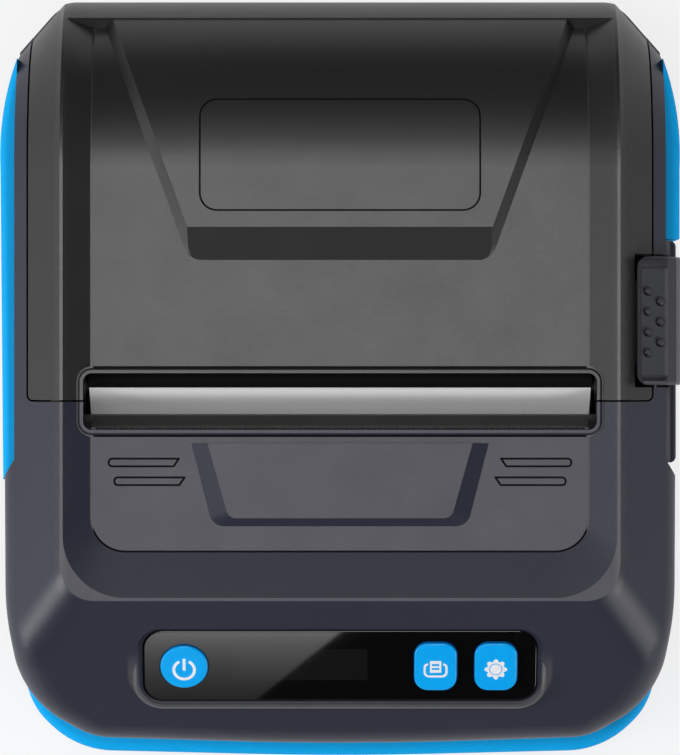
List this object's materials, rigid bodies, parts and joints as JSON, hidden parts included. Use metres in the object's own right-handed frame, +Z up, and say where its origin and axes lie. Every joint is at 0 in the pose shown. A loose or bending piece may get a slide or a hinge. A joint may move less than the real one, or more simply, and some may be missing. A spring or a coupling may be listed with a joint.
{
  "type": "portable label printer",
  "caption": "Battery label printer with a rear-hinged roll cover, label slot with tear bar, tilted key panel, side release lever and corner bumpers.",
  "frame": {"origin": "centre of the footprint, on the surface that the feet stand on", "axes": "+Z up; +Y to the lid hinge at the rear; +X right of a user facing the key panel"},
  "size_m": [0.1106, 0.124, 0.057],
  "materials": {
    "lid_plastic": "fine-grained moulded plastic",
    "housing_plastic": "fine-grained moulded plastic, slate",
    "blue_rubber": "matt blue over-moulded bumper",
    "gloss_lens": "polished black",
    "blue_keys": "satin blue keys",
    "black_plastic": "plain black moulding",
    "steel": "plated sheet and turned steel",
    "heatsink_aluminium": "extruded",
    "head_ceramic": "glazed strip",
    "platen_rubber": "ground rubber",
    "gear_plastic": "natural acetal",
    "label_paper": "coated white labels",
    "core_card": "wound card",
    "circuit_board": "green solder mask",
    "display_glass": "dark display",
    "battery_wrap": "shrink wrap",
    "contact_brass": "gold-plated"
  },
  "bodies": {
    "root": {"battery_contacts": "contact_brass", "battery_pack": "battery_wrap", "bottom_case": "housing_plastic", "buzzer": "black_plastic", "display_module": "display_glass", "front_bumper": "blue_rubber", "head_heatsink": "heatsink_aluminium", "head_pivot_shaft": "steel", "head_springs": "steel", "head_strip": "head_ceramic", "hinge_pins": "steel", "housing_screws": "steel", "idler_axle": "steel", "key_board": "circuit_board", "label_web": "label_paper", "lever_guard": "housing_plastic", "lever_pin": "steel", "lever_spring": "steel", "main_board": "circuit_board", "mechanism_frame": "steel", "mechanism_screws": "steel", "panel_lens": "gloss_lens", "paper_sensor": "black_plastic", "roll_cradle": "black_plastic", "rubber_feet": "platen_rubber", "side_bumper_left": "blue_rubber", "side_bumper_right": "blue_rubber", "stepper_motor": "steel", "tact_switches": "black_plastic", "tear_bar": "black_plastic", "top_housing": "housing_plastic", "usb_connector": "black_plastic"},
    "lid": {"lid_shell": "lid_plastic", "lid_liner": "black_plastic", "lid_striker": "black_plastic", "lid_screws": "steel", "platen_bushes": "gear_plastic"},
    "platen": {"platen_roller": "platen_rubber", "platen_shaft": "steel", "platen_gear": "gear_plastic"},
    "idler": {"idler_gear": "gear_plastic"},
    "motor_rotor": {"motor_pinion": "gear_plastic", "motor_shaft": "steel"},
    "roll": {"label_roll": "label_paper", "roll_core": "core_card"},
    "guide_left": {"roll_guide_left": "black_plastic"},
    "guide_right": {"roll_guide_right": "black_plastic"},
    "power_button": {"power_button": "blue_keys"},
    "feed_button": {"feed_button": "blue_keys"},
    "setup_button": {"setup_button": "blue_keys"},
    "release_lever": {"release_lever": "housing_plastic"},
    "battery_door": {"battery_door": "housing_plastic"},
    "door_latch": {"door_latch": "black_plastic"}
  },
  "joints": [
    {"name": "lid_hinge", "type": "hinge", "parent": "root", "child": "lid", "pos_m": [0, 0.0591, 0.0185], "axis": [-1, 0, 0], "range_deg": [0, 90]},
    {"name": "platen_spin", "type": "hinge", "parent": "lid", "child": "platen", "pos_m": [0, -0.001, 0.0445], "axis": [1, 0, 0], "continuous": true},
    {"name": "idler_spin", "type": "hinge", "parent": "root", "child": "idler", "pos_m": [-0.0457, -0.0049, 0.03257], "axis": [1, 0, 0], "continuous": true},
    {"name": "motor_spin", "type": "hinge", "parent": "root", "child": "motor_rotor", "pos_m": [-0.0457, -0.01438, 0.02795], "axis": [1, 0, 0], "continuous": true},
    {"name": "roll_spin", "type": "hinge", "parent": "root", "child": "roll", "pos_m": [0, 0.0341, 0.028], "axis": [1, 0, 0], "continuous": true},
    {"name": "guide_left_slide", "type": "slide", "parent": "root", "child": "guide_left", "axis": [-1, 0, 0], "range_m": [0, 0.0025], "stiffness_N_per_m": 200, "springref_m": -0.002},
    {"name": "guide_right_slide", "type": "slide", "parent": "root", "child": "guide_right", "axis": [1, 0, 0], "range_m": [0, 0.0025]},
    {"name": "power_button_press", "type": "slide", "parent": "root", "child": "power_button", "axis": [0, 0.4226, -0.9063], "range_m": [0, 0.0007], "stiffness_N_per_m": 300, "springref_m": -0.0005},
    {"name": "feed_button_press", "type": "slide", "parent": "root", "child": "feed_button", "axis": [0, 0.4226, -0.9063], "range_m": [0, 0.0007], "stiffness_N_per_m": 300, "springref_m": -0.0005},
    {"name": "setup_button_press", "type": "slide", "parent": "root", "child": "setup_button", "axis": [0, 0.4226, -0.9063], "range_m": [0, 0.0007], "stiffness_N_per_m": 300, "springref_m": -0.0005},
    {"name": "lever_swing", "type": "hinge", "parent": "root", "child": "release_lever", "pos_m": [0.0514, 0.0097, 0.036], "axis": [0, 1, 0], "range_deg": [0, 12], "stiffness_Nm_per_rad": 0.05, "springref_deg": -8.59},
    {"name": "door_hinge", "type": "hinge", "parent": "root", "child": "battery_door", "pos_m": [0, -0.0552, 0.0024], "axis": [-1, 0, 0], "range_deg": [0, 100]},
    {"name": "latch_slide", "type": "slide", "parent": "battery_door", "child": "door_latch", "axis": [0, -1, 0], "range_m": [0, 0.002], "stiffness_N_per_m": 100, "springref_m": -0.002}
  ],
  "couplings": [
    {"joint": "idler_spin", "follows": "platen_spin", "ratio": -0.66667},
    {"joint": "motor_spin", "follows": "platen_spin", "ratio": 1.6667},
    {"joint": "guide_right_slide", "follows": "guide_left_slide", "ratio": 1}
  ]
}
